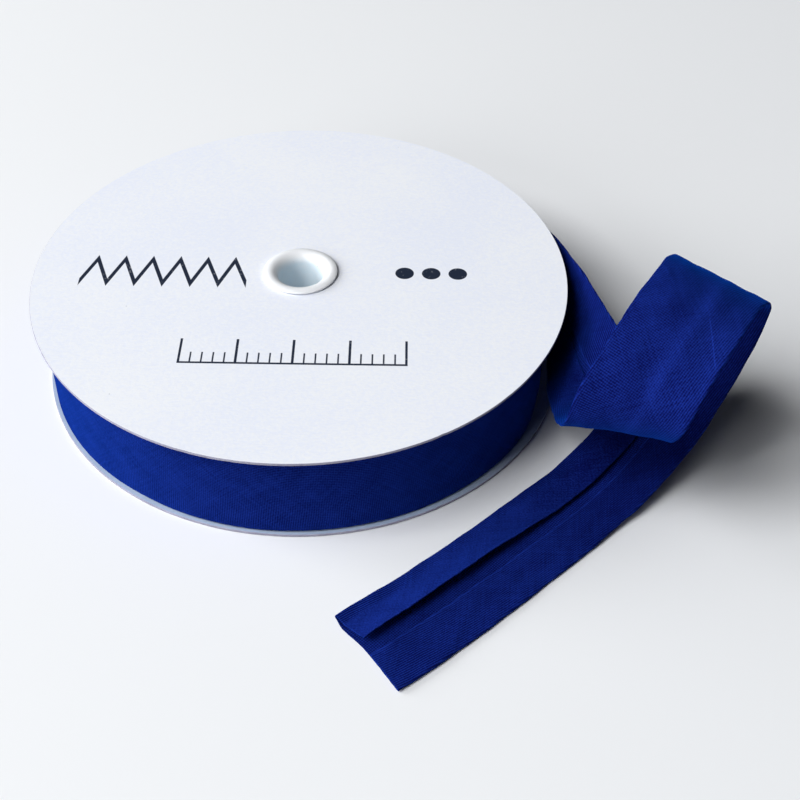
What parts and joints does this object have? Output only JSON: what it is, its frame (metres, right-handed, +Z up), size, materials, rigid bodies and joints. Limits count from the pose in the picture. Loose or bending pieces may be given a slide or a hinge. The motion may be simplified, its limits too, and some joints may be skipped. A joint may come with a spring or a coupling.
{
  "type": "roll of bias tape",
  "caption": "Roll of folded bias tape wound between round card flanges with a central eyelet, its loose end turned over in a loop and lying beside it.",
  "frame": {"origin": "middle of the whole footprint, on the surface that the roll lies on", "axes": "+Z up along the reel's axis; the loose end leaves towards +X and its cut end lies towards -Y"},
  "size_m": [0.1318, 0.131, 0.041],
  "materials": {
    "card": "matt white paper on thin grey-blue board",
    "eyelet": "white gloss",
    "tape": "royal blue plain weave cut on the bias, soft sheen"
  },
  "bodies": {
    "root": {"lower_flange": "card", "upper_flange": "card", "eyelet": "eyelet", "wound_tape": "tape", "loose_tape": "tape"}
  },
  "joints": []
}
